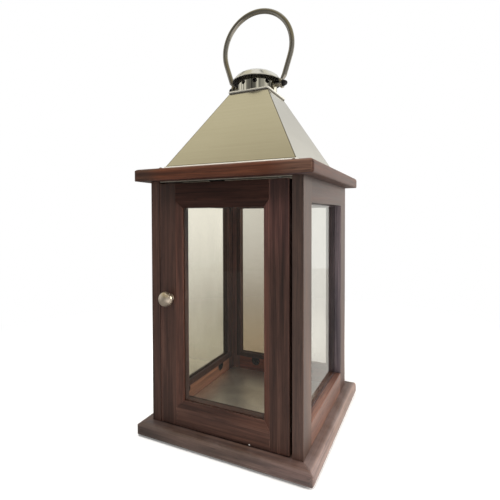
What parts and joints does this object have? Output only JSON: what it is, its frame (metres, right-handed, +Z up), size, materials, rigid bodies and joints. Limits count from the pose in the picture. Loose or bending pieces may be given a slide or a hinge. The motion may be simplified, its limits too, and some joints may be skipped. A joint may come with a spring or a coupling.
{
  "type": "candle lantern",
  "caption": "Glazed hardwood table lantern with an outward-opening door, polished steel pyramid roof, vented chimney with domed cap, and a hinged ring handle.",
  "frame": {"origin": "bottom centre of the whole object's box, at the underside of the feet; the knob reaches 1.1 mm past the plinth, so the lantern's own upright axis stands 0.55 mm behind the origin", "axes": "+Z up; the door faces -Y, its latch edge is towards -X and its pivots towards +X; the ring handle's bolts lie along X"},
  "size_m": [0.231, 0.232, 0.5586],
  "materials": {
    "felt": "felt pad",
    "plinth_wood_x": "stained hardwood, satin lacquer, grain along X",
    "plinth_wood_y": "stained hardwood, satin lacquer, grain along Y",
    "panel_wood": "stained plywood",
    "floor_steel": "mirror polished steel sheet",
    "rail_wood_x": "stained hardwood, satin lacquer, grain along X",
    "rail_wood_y": "stained hardwood, satin lacquer, grain along Y",
    "stile_wood": "stained hardwood, satin lacquer, grain along Z",
    "bead_wood": "stained hardwood, satin lacquer",
    "door_wood_z": "stained hardwood, satin lacquer, grain along Z",
    "door_wood_x": "stained hardwood, satin lacquer, grain along X",
    "top_wood_x": "stained hardwood, satin lacquer, grain along X",
    "top_wood_y": "stained hardwood, satin lacquer, grain along Y",
    "dowel_wood": "bare beech",
    "pane_glass": "clear float glass",
    "knob_nickel": "satin nickel plating",
    "screw_steel": "phosphated steel",
    "plated_steel": "zinc plated steel",
    "magnet": "dark coated magnet",
    "lining_steel": "stainless steel sheet",
    "roof_steel": "polished stainless steel sheet",
    "bronzed_screw": "bronzed steel",
    "chimney_steel": "polished stainless steel",
    "cap_steel": "polished stainless steel",
    "ring_nickel": "polished nickel plating",
    "dark_nickel": "black nickel plating"
  },
  "bodies": {
    "case": {"feet": "felt", "plinth_front": "plinth_wood_x", "plinth_back": "plinth_wood_x", "plinth_left": "plinth_wood_y", "plinth_right": "plinth_wood_y", "floor_panel": "panel_wood", "floor_plate": "floor_steel", "front_sill": "rail_wood_x", "stop_block": "rail_wood_x", "rail_screws": "screw_steel", "left_front_stile": "stile_wood", "left_rear_stile": "stile_wood", "left_top_rail": "rail_wood_y", "left_bottom_rail": "rail_wood_y", "left_pane": "pane_glass", "left_beads": "bead_wood", "right_front_stile": "stile_wood", "right_rear_stile": "stile_wood", "right_top_rail": "rail_wood_y", "right_bottom_rail": "rail_wood_y", "right_pane": "pane_glass", "right_beads": "bead_wood", "back_left_stile": "stile_wood", "back_right_stile": "stile_wood", "back_top_rail": "rail_wood_x", "back_bottom_rail": "rail_wood_x", "back_pane": "pane_glass", "back_beads": "bead_wood", "door_pivots": "plated_steel", "thrust_washer": "plated_steel", "catch_magnet": "magnet", "top_front": "top_wood_x", "top_back": "top_wood_x", "top_left": "top_wood_y", "top_right": "top_wood_y", "top_dowels": "dowel_wood", "steel_lining": "lining_steel", "lining_screws": "screw_steel", "roof": "roof_steel", "roof_screws": "bronzed_screw", "chimney_collar": "chimney_steel", "chimney_drum": "chimney_steel", "chimney_cap": "cap_steel", "handle_bolts": "plated_steel", "bolt_spacers": "ring_nickel", "handle_washers": "dark_nickel", "cap_nuts": "dark_nickel"},
    "door": {"door_hinge_stile": "door_wood_z", "door_latch_stile": "door_wood_z", "door_top_rail": "door_wood_x", "door_bottom_rail": "door_wood_x", "door_pane": "pane_glass", "door_beads": "bead_wood", "door_knob": "knob_nickel", "knob_screw": "screw_steel", "strike_plate": "plated_steel"},
    "handle": {"ring_handle": "ring_nickel"}
  },
  "joints": [
    {"name": "door_hinge", "type": "hinge", "parent": "case", "child": "door", "pos_m": [0.0711, -0.09145, 0.018], "axis": [0, 0, 1], "range_deg": [0, 120]},
    {"name": "handle_hinge", "type": "hinge", "parent": "case", "child": "handle", "pos_m": [0, 0.00055, 0.4528], "axis": [1, 0, 0], "range_deg": [-128, 128]}
  ]
}
